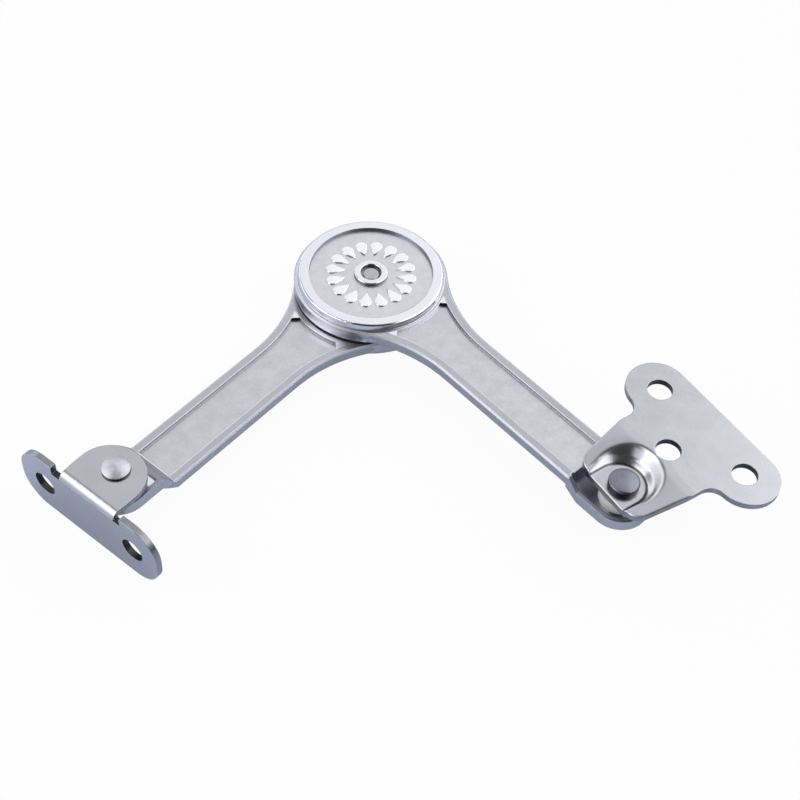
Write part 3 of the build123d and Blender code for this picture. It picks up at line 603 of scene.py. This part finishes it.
def sheared_bracket(face):
    """Rule for the bent lid bracket: 0 face or bend, 1 cut edge, 2 hole wall or notch floor."""
    if in_a_hole(face, leg_holes, leg_out):
        return 2
    spot = face.calc_center_median()
    on_ear = abs((spot - leg_middle).dot(bend_line)) < EAR_HALF and spot.z > EAR_LOWEST
    across = abs(face.normal.dot(bend_line)) > 0.35
    # The notch floor gets the near-black painted shade.
    if face.normal.z > 0.9 and abs(spot.z - NOTCH_FLOOR) < HAIR:
        return 2
    return 1 if across or (abs(face.normal.dot(leg_out)) < 0.8 and not on_ear) else 0


def turned_side(face):
    """Rule for a rivet head or the collar: 0 top, 1 the wall below it."""
    # The wall below a rivet head or the collar gets a dark finish, which is painted shade.
    return 1 if abs(face.normal.z) < 0.4 else 0


print("screw holes:", len(plate_holes), "in the side plate,", len(leg_holes), "in the lid bracket")

# %% [markdown]
# ## Moulded and pressed soft materials
# The spacers are white nylon and the linings pressed fibre, neither of them metal, so they get
# a finish of their own from the same signals. Voronoi cells give the flecks of pressed fibre, and
# a noise gives the cloudiness of nylon, so one helper mixes the two by a share.


# %% Nylon and lining
def moulded(name, dark, light, roughness, fleck_size, flecks):
    """A dull material with flecks, such as moulded nylon or a pressed lining."""
    material = bpy.data.materials.new(name)
    sheet = Sheet(material)
    place = sheet.node("ShaderNodeTexCoord", out="Object")
    fleck = sheet.node("ShaderNodeTexVoronoi", None, Vector=place, Scale=1 / fleck_size)
    cloud = sheet.node("ShaderNodeTexNoise", None, Vector=place, Scale=0.3 / fleck_size, Detail=4)
    tone = cloud * (1 - flecks) + fleck.ramp(0.1, 0.6) * flecks
    bumps = sheet.node("ShaderNodeBump", None, Strength=0.2, Distance=0.02 * MM, Height=tone)
    shader = sheet.node(
        "ShaderNodeBsdfPrincipled",
        None,
        Base_Color=tone.tint(dark, light),
        Roughness=roughness * (0.9 + 0.2 * cloud),
        Normal=bumps,
    )
    sheet.node("ShaderNodeOutputMaterial", None, Surface=shader)
    return material


white_nylon = moulded(
    "white_nylon", (0.55, 0.56, 0.57, 1), (0.72, 0.72, 0.71, 1), 0.45, 0.6 * MM, 0.2
)
fibre_lining = moulded(
    "fibre_lining", (0.05, 0.04, 0.035, 1), (0.22, 0.17, 0.12, 1), 0.8, 0.3 * MM, 0.6
)
print("dull materials:", white_nylon.name, "and", fibre_lining.name)

# %% [markdown]
# ## The plates, rivets and hidden hub pieces
# The rivets, spacers and washers turn with the plate that they hold. The friction pack lies inside
# the hub: linings, a friction disc, disc springs, a bush and the pivot that clamps them. Each solid
# is finished in the same way, so one list names its body, its slot and its materials.

# %% Finish the plates, the rivets and the hub pieces
plate_skins = (plated_sheet, cut_edge, hole_wall)
for node, body, slot, materials, rule in (
    ("side_plate", "side_plate", "plated_sheet", (side_sheet, cut_edge, hole_wall), sheared_plate),
    ("side_plate_rivet", "side_plate", "plated_rivet", (head_steel, hole_wall), turned_side),
    ("side_plate_spacer", "side_plate", "nylon", (white_nylon,), None),
    ("side_plate_tail_washer", "side_plate", "plated_rivet", (dome_steel,), None),
    ("lid_bracket", "lid_bracket", "plated_sheet", plate_skins, sheared_bracket),
    ("lid_bracket_rivet", "lid_bracket", "plated_rivet", (dome_steel, hole_wall), turned_side),
    ("lid_bracket_spacer", "lid_bracket", "nylon", (white_nylon,), None),
    ("lid_bracket_tail_washer", "lid_bracket", "plated_rivet", (dome_steel,), None),
    ("centre_collar", "upper_arm", "polished_ring", (bright_nickel, collar_wall), turned_side),
    ("pivot_pin", "upper_arm", "hard_steel", (pivot_steel,), None),
    ("stop_pin", "upper_arm", "hard_steel", (pivot_steel,), None),
    ("pressure_plate", "upper_arm", "hard_steel", (pivot_steel,), None),
    ("retaining_washer", "upper_arm", "hard_steel", (pivot_steel,), None),
    ("disc_springs", "upper_arm", "spring_steel", (spring_steel,), None),
    ("glide_ring", "upper_arm", "nylon", (white_nylon,), None),
    ("upper_lining", "upper_arm", "lining", (fibre_lining,), None),
    ("friction_disc", "lower_arm", "hard_steel", (pivot_steel,), None),
    ("lower_lining", "lower_arm", "lining", (fibre_lining,), None),
    ("pivot_bush", "lower_arm", "bush", (sintered_bronze,), None),
    ("bottom_cover", "lower_arm", "rosette", (satin_nickel,), None),
):
    finished(node, body, slot, *materials, rule=rule)

# %% [markdown]
# ## The rosette
# The sunk disc of the hub is a stamped rosette: a finely pebbled ground with sixteen polished
# petals, each a teardrop with its point to the centre. The ground is a ring, so it is turned from a
# small profile, as on a lathe. That leaves round edges round, which a disc cut from a grid of
# squares would not.

# %% Turn the ground disc
DISC_THICKNESS = 0.8 * MM
COLLAR_OVERLAP = 1.35 * MM
TURN_STEPS = 128


def turned(name, profile, centre):
    """A ring from a closed profile of (radius, height) points, turned about centre."""
    work = bmesh.new()
    rings = []
    for step in range(TURN_STEPS):
        angle = 2 * math.pi * step / TURN_STEPS
        spot = Vector((math.cos(angle), math.sin(angle), 0))
        corners = [centre + spot * radius + Vector((0, 0, height)) for radius, height in profile]
        rings.append([work.verts.new(corner) for corner in corners])
    for step, ring in enumerate(rings):
        following = rings[(step + 1) % TURN_STEPS]
        for place in range(len(profile)):
            after = (place + 1) % len(profile)
            work.faces.new((ring[place], following[place], following[after], ring[after]))
    bmesh.ops.recalc_face_normals(work, faces=work.faces)
    for face in work.faces:
        face.smooth = True
    for edge in work.edges:
        edge.smooth = edge.calc_face_angle(0) < math.radians(30)
    mesh = bpy.data.meshes.new(name)
    work.to_mesh(mesh)
    work.free()
    piece = bpy.data.objects.new(name, mesh)
    bpy.context.scene.collection.objects.link(piece)
    return piece


hub_axis = Vector((hub_centre.x, hub_centre.y, 0))
hole_radius = collar_radius - COLLAR_OVERLAP
ground = turned(
    "rosette_ground",
    [
        (hole_radius, ground_height),
        (rosette_radius, ground_height),
        (rosette_radius, ground_height - DISC_THICKNESS),
        (hole_radius, ground_height - DISC_THICKNESS),
    ],
    hub_axis,
)
ground.data.materials.append(rosette_ground)
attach(ground, "upper_arm")
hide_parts("rosette_disc")
print("rosette ground radius:", round(rosette_radius / MM, 2), "mm")


# %% [markdown]
# ## One petal
# One stamp presses all the petals at once, so they are alike and one is enough. Its outline is a
# round end and a point, joined by two straight sides that touch the round end. Five such outlines,
# each a little higher and further in, give it steep sides and a rounded shoulder. A bump in the
# finish would be quicker, but the petals throw small shadows, so they are real shapes.

# %% Model one petal
PETAL_POINT = 5.3 * MM
PETAL_END = 8.2 * MM
PETAL_RADIUS = 1.3 * MM
PETAL_RISE = 0.25 * MM


def teardrop(inset):
    """Outline of a petal along X, drawn in by inset: the point first, then round its end."""
    lean = math.asin(PETAL_RADIUS / (PETAL_END - PETAL_POINT))
    point = (PETAL_POINT + inset / math.sin(lean), 0)
    radius = PETAL_RADIUS - inset
    sweep = math.pi / 2 + lean
    steps = 18
    angles = [-sweep + 2 * sweep * step / steps for step in range(steps + 1)]
    return [point] + [(PETAL_END + radius * math.cos(a), radius * math.sin(a)) for a in angles]


def petal_mesh():
    """A teardrop with steep sides, a rounded shoulder and an almost flat top."""
    work = bmesh.new()
    levels = [(0, -0.1), (0.02, 0.55), (0.06, 0.82), (0.13, 0.95), (0.26, 1.0)]
    rings = [
        [work.verts.new((x, y, PETAL_RISE * rise)) for x, y in teardrop(inset * MM)]
        for inset, rise in levels
    ]
    for lower_ring, upper_ring in zip(rings, rings[1:]):
        for place in range(len(lower_ring)):
            after = (place + 1) % len(lower_ring)
            work.faces.new(
                (lower_ring[place], lower_ring[after], upper_ring[after], upper_ring[place])
            )
    crown = work.verts.new((PETAL_END - 0.2 * MM, 0, PETAL_RISE * 1.06))
    top = rings[-1]
    for place in range(len(top)):
        work.faces.new((top[place], top[(place + 1) % len(top)], crown))
    work.faces.new(list(reversed(rings[0])))
    bmesh.ops.recalc_face_normals(work, faces=work.faces)
    for face in work.faces:
        face.smooth = True
    mesh = bpy.data.meshes.new("petal")
    work.to_mesh(mesh)
    work.free()
    return mesh


petal = bpy.data.objects.new("petal", petal_mesh())
print("one petal has", len(petal.data.polygons), "faces")

# %% [markdown]
# ## The ring of petals
# A count, a first angle and a centre are all that the ring needs, so Geometry Nodes makes it: that
# many points at the hub's centre, each with a petal that is turned a little further than the last.
# The copies are made real and get their finish at the end of the tree, and the result is kept as a
# plain mesh. Another design of petal would only need another count.

# %% Turn the petals round the hub with Geometry Nodes
PETAL_COUNT = 16
PETAL_TURN = math.radians(3.5)
ring_group = bpy.data.node_groups.new("ring of petals", "GeometryNodeTree")
ring_sockets = {}
for label, kind in (
    ("Petal", "NodeSocketObject"),
    ("Count", "NodeSocketInt"),
    ("Start", "NodeSocketFloat"),
    ("Centre", "NodeSocketVector"),
    ("Finish", "NodeSocketMaterial"),
):
    ring_sockets[label] = ring_group.interface.new_socket(label, in_out="INPUT", socket_type=kind)
ring_group.interface.new_socket("Geometry", in_out="OUTPUT", socket_type="NodeSocketGeometry")
ring = Sheet(ring_group)


def given(label):
    """The group's named input."""
    return ring.node("NodeGroupInput", out=ring_sockets[label].identifier)


one_petal = ring.node("GeometryNodeObjectInfo", None, given("Petal"), out="Geometry")
places = ring.node("GeometryNodePoints", None, given("Count"), given("Centre"))
number = ring.node("GeometryNodeInputIndex")
angle = given("Start") + number * (2 * math.pi) / given("Count")
turn = ring.node("ShaderNodeCombineXYZ", None, 0.0, 0.0, angle)
copies = ring.node(
    "GeometryNodeInstanceOnPoints", None, Points=places, Instance=one_petal, Rotation=turn
)
joined = ring.node("GeometryNodeRealizeInstances", None, copies)
painted = ring.node("GeometryNodeSetMaterial", None, Geometry=joined, Material=given("Finish"))
ring.node("NodeGroupOutput", None, painted)


def grown(name, group, sockets, values):
    """The plain mesh that a Geometry Nodes group makes from these values."""
    host = bpy.data.objects.new(name, bpy.data.meshes.new(name))
    bpy.context.scene.collection.objects.link(host)
    modifier = host.modifiers.new("grow", "NODES")
    modifier.node_group = group
    for label, value in values.items():
        modifier[sockets[label].identifier] = value
    bpy.context.view_layer.update()
    seen_by = bpy.context.evaluated_depsgraph_get()
    mesh = bpy.data.meshes.new_from_object(host.evaluated_get(seen_by), depsgraph=seen_by)
    bpy.data.objects.remove(host)
    piece = bpy.data.objects.new(name, mesh)
    bpy.context.scene.collection.objects.link(piece)
    return piece


petals = grown(
    "rosette_petals",
    ring_group,
    ring_sockets,
    {
        "Petal": petal,
        "Count": PETAL_COUNT,
        "Start": PETAL_TURN,
        "Centre": (hub_centre.x, hub_centre.y, ground_height),
        "Finish": petal_polish,
    },
)
bpy.data.objects.remove(petal)
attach(petals, "upper_arm")
print("petals:", PETAL_COUNT, "with", len(petals.data.polygons), "faces in all")

# %% [markdown]
# ## The floor and the background
# The fitting stands on a plain pale floor. The Light Path node lets the camera see the floor as
# white, and its own pale colour still takes a share, so that the shadow stays. Metal sees it too,
# but only a small share of the white, over a colour that is a little blue: the sides and the lower
# faces mirror the floor, and in the photograph they are blue-grey. More light would also whiten
# the floor, but it would wash out the metal.

# %% Lay the floor
FLOOR_HALF = 1.5
FLOOR_GREY = (0.9, 0.9, 0.9, 1)
MIRRORED_FLOOR = (0.62, 0.70, 0.90, 1)
SEEN_SHARE = 0.95
MIRRORED_SHARE = 0.16
floor_mesh = bpy.data.meshes.new("floor")
signs = ((-1, -1), (1, -1), (1, 1), (-1, 1))
floor_corners = [(x * FLOOR_HALF, y * FLOOR_HALF, lowest - HAIR) for x, y in signs]
floor_mesh.from_pydata(floor_corners, [], [(0, 1, 2, 3)])
floor = bpy.data.objects.new("floor", floor_mesh)
bpy.context.scene.collection.objects.link(floor)

floor_material = bpy.data.materials.new("pale_floor")
paper = Sheet(floor_material)
seen = paper.node("ShaderNodeLightPath", out="Is Camera Ray")
mirrored = paper.node("ShaderNodeLightPath", out="Is Glossy Ray")
through = paper.node("ShaderNodeLightPath", out="Is Transmission Ray")
own_colour = paper.node(
    "ShaderNodeBsdfDiffuse", None, Color=mirrored.tint(FLOOR_GREY, MIRRORED_FLOOR)
)
white = paper.node("ShaderNodeEmission", None, Color=(1, 1, 1, 1), Strength=1.0)
share = seen * SEEN_SHARE + (mirrored + through) * MIRRORED_SHARE
surface = paper.node("ShaderNodeMixShader", None, share, own_colour, white)
paper.node("ShaderNodeOutputMaterial", None, Surface=surface)
floor_mesh.materials.append(floor_material)
print("floor height in mm:", round((lowest - HAIR) / MM, 2))

# %% [markdown]
# ## The light
# Metal shows the room that it stands in, so the light is a room. A tent of white cloth over the
# fitting gives the pale tops, and its open front, where the photographer stands, gives the dark
# lines. The world is that tent, as a formula of the direction, turned so that right, back and up
# are the photographer's. The cloth is bright behind, brighter to the far right, cut off by a dark
# card at the upper left, and lit again low on the left. Many lamps could do the same, but a
# formula has no lamp edges that would show up in polished metal.

# %% Hang the tent
world = bpy.data.worlds.new("tent")
bpy.context.scene.world = world
tent = Sheet(world)
direction = tent.node("ShaderNodeTexCoord", out="Generated")
facing_back = tent.node(
    "ShaderNodeVectorRotate", {"rotation_type": "Z_AXIS"}, Vector=direction, Angle=-CAMERA_HEADING
)
right, back, up = (
    tent.node("ShaderNodeSeparateXYZ", None, facing_back, out=axis) for axis in ("X", "Y", "Z")
)
cloth = 0.95 + right * 0.5 - right.ramp(0.04, 0.15) * 0.3 + right.ramp(0.16, 0.32) * 0.8
facing = back + right.ramp(0.3, 0.6) * up.ramp(0.4, 0.6) * 0.9
behind = facing.ramp(-0.15, 0.35) * up.ramp(0.0, 0.4)
far_left = (0 - right).ramp(0.3, 0.55)
card = far_left * up.ramp(0.3, 0.6) * 0.85
low = up.ramp(-0.1, 0.15) * (1 - up.ramp(0.4, 0.7))
sky = 0.05 + behind * cloth * (1 - card) + far_left * low * 1.1
straight = tent.node("ShaderNodeLightPath", out="Is Camera Ray")
strength = straight * 1.0 + (1 - straight) * sky
light = tent.node("ShaderNodeBackground", None, Color=(0.98, 0.985, 1, 1), Strength=strength)
tent.node("ShaderNodeOutputWorld", None, Surface=light)
print("the tent has", len(world.node_tree.nodes), "nodes")

# %% [markdown]
# ## The soft box
# One soft box stands half a metre to the left of the fitting and as far above it, a little to the
# front. It draws the white lines on the bends and the lit flanks of the domes, which the even cloth
# can't give. A large lamp close by does that without hard edges. Its power is worked out from its
# size, so that its brightness stays when its size is changed.


# %% Place the soft box
BOX_SIDE = 0.5
BOX_RADIANCE = 2.0
BOX_FROM_HUB = Vector((-0.52, -0.20, 0.50))


def soft_box(name, place, target, width, height, radiance):
    """A rectangular lamp that looks at target and is as bright as radiance."""
    lamp = bpy.data.lights.new(name, "AREA")
    lamp.shape = "RECTANGLE"
    lamp.size, lamp.size_y = width, height
    lamp.energy = radiance * math.pi * width * height
    box = bpy.data.objects.new(name, lamp)
    box.matrix_world = (
        Matrix.Translation(place) @ (target - place).to_track_quat("-Z", "Y").to_matrix().to_4x4()
    )
    bpy.context.scene.collection.objects.link(box)
    return box


studio = Matrix.Rotation(CAMERA_HEADING, 3, "Z")
left_box = soft_box(
    "left_box", hub_centre + studio @ BOX_FROM_HUB, hub_centre, BOX_SIDE, BOX_SIDE, BOX_RADIANCE
)
print("soft box:", left_box.name, "at", [round(c, 2) for c in left_box.matrix_world.translation])
